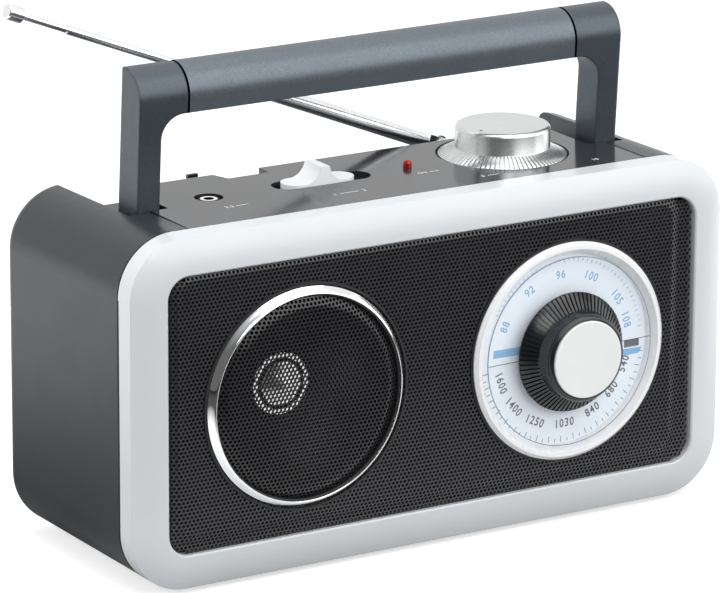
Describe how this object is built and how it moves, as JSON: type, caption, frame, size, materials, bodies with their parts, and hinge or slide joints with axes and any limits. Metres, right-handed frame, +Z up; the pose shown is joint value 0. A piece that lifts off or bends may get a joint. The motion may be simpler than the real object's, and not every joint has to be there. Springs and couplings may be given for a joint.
{
  "type": "tabletop radio",
  "caption": "Portable tabletop radio with a speaker and tuning dial behind a framed grille, top controls, a folding carry handle and a telescopic antenna.",
  "frame": {"origin": "centre of the case's footprint on the surface that the rubber feet stand on", "axes": "+Z up, the front with the grille and dial faces -Y, +X to the right seen from the front"},
  "size_m": [0.2416, 0.1048, 0.1901],
  "materials": {
    "bezel_silver": "satin silver paint",
    "grille_black": "satin black",
    "inner_black": "matte black",
    "trim_chrome": "polished",
    "dial_silver": "satin silver",
    "dial_white": "printed pale blue white",
    "pointer_clear": "clear",
    "knob_black": "satin black",
    "cap_silver": "brushed",
    "shaft_steel": "plain",
    "part_grey": "matte",
    "board_green": "solder mask",
    "cone_paper": "matte black paper",
    "dust_cap_silver": "satin silver",
    "basket_steel": "black",
    "magnet_dark": "plain",
    "case_grey": "satin gloss dark grey",
    "panel_grey": "gloss dark grey",
    "foot_rubber": "matte",
    "screw_steel": "zinc",
    "slider_silver": "satin silver paint",
    "lamp_red": "clear red",
    "volume_silver": "satin silver paint",
    "handle_grey": "satin blue grey",
    "grip_grey": "satin blue grey",
    "washer_black": "satin black",
    "antenna_chrome": "polished",
    "cover_grey": "fine texture dark grey",
    "door_grey": "fine texture dark grey",
    "contact_plated": "nickel plated",
    "core_steel": "plain laminations",
    "coil_copper": "varnished wire",
    "ferrite_dark": "matte"
  },
  "bodies": {
    "case": {"front_bezel": "bezel_silver", "front_grille": "grille_black", "front_baffle": "inner_black", "speaker_ring": "trim_chrome", "dial_ring": "dial_silver", "dial_plate": "dial_white", "tuning_capacitor": "part_grey", "circuit_board": "board_green", "speaker_cone": "cone_paper", "speaker_dust_cap": "dust_cap_silver", "speaker_basket": "basket_steel", "speaker_magnet": "magnet_dark", "main_case": "case_grey", "top_deck": "case_grey", "antenna_well": "case_grey", "control_panel": "panel_grey", "rubber_feet": "foot_rubber", "control_board": "board_green", "control_screws": "screw_steel", "headphone_jack": "inner_black", "headphone_bushing": "trim_chrome", "headphone_nut": "inner_black", "band_switch": "part_grey", "power_lamp": "lamp_red", "volume_potentiometer": "part_grey", "volume_nut": "shaft_steel", "handle_pins": "shaft_steel", "handle_washers": "washer_black", "antenna_clip": "washer_black", "rear_cover": "cover_grey", "cover_screws": "screw_steel", "battery_tray": "inner_black", "battery_door_pin": "shaft_steel", "battery_contacts": "contact_plated", "mains_inlet": "inner_black", "inlet_pins": "contact_plated", "transformer_core": "core_steel", "transformer_coil": "coil_copper", "ferrite_rod": "ferrite_dark", "ferrite_coil": "coil_copper", "ferrite_holders": "inner_black", "front_screws": "screw_steel"},
    "handle": {"handle_leg_left": "handle_grey", "handle_leg_right": "handle_grey", "handle_grip": "grip_grey"},
    "tuning": {"pointer_disc": "pointer_clear", "tuning_knob": "knob_black", "tuning_knob_cap": "cap_silver", "tuning_shaft": "shaft_steel"},
    "volume": {"volume_knob": "volume_silver", "volume_shaft": "shaft_steel"},
    "band": {"band_slider": "slider_silver"},
    "antenna_swivel": {"antenna_fork": "antenna_chrome", "antenna_nut": "shaft_steel", "antenna_pin": "shaft_steel"},
    "antenna_lower": {"antenna_lower_tube": "antenna_chrome"},
    "antenna_middle": {"antenna_middle_tube": "antenna_chrome"},
    "antenna_upper": {"antenna_upper_tube": "antenna_chrome"},
    "antenna_end": {"antenna_tip": "antenna_chrome"},
    "battery_lid": {"battery_door": "door_grey"}
  },
  "joints": [
    {"name": "handle_fold", "type": "hinge", "parent": "case", "child": "handle", "pos_m": [0, -0.0015, 0.11805], "axis": [-1, 0, 0], "range_deg": [0, 28]},
    {"name": "tuning_turn", "type": "hinge", "parent": "case", "child": "tuning", "pos_m": [0.0522, -0.0585, 0.06275], "axis": [0, 1, 0], "range_deg": [0, 180]},
    {"name": "volume_turn", "type": "hinge", "parent": "case", "child": "volume", "pos_m": [0.052, -0.0031, 0.1235], "axis": [0, 0, -1], "range_deg": [-60, 240]},
    {"name": "band_shift", "type": "slide", "parent": "case", "child": "band", "axis": [1, 0, 0], "range_m": [0, 0.003]},
    {"name": "antenna_turn", "type": "hinge", "parent": "case", "child": "antenna_swivel", "pos_m": [0.049, 0.0305, 0.1113], "axis": [0, 0, -1], "range_deg": [0, 150]},
    {"name": "antenna_tilt", "type": "hinge", "parent": "antenna_swivel", "child": "antenna_lower", "pos_m": [0.049, 0.0305, 0.1184], "axis": [0, 1, 0], "range_deg": [-16, 68.1]},
    {"name": "antenna_middle_draw", "type": "slide", "parent": "antenna_lower", "child": "antenna_middle", "axis": [-0.9278, 0, 0.373], "range_m": [-0.0035, 0.084]},
    {"name": "antenna_upper_draw", "type": "slide", "parent": "antenna_middle", "child": "antenna_upper", "axis": [-0.9278, 0, 0.373], "range_m": [-0.044, 0.038]},
    {"name": "antenna_tip_draw", "type": "slide", "parent": "antenna_upper", "child": "antenna_end", "axis": [-0.9278, 0, 0.373], "range_m": [-0.0175, 0.06]},
    {"name": "battery_lid_swing", "type": "hinge", "parent": "case", "child": "battery_lid", "pos_m": [-0.016, 0.043, 0.0158], "axis": [-1, 0, 0], "range_deg": [0, 85]}
  ]
}
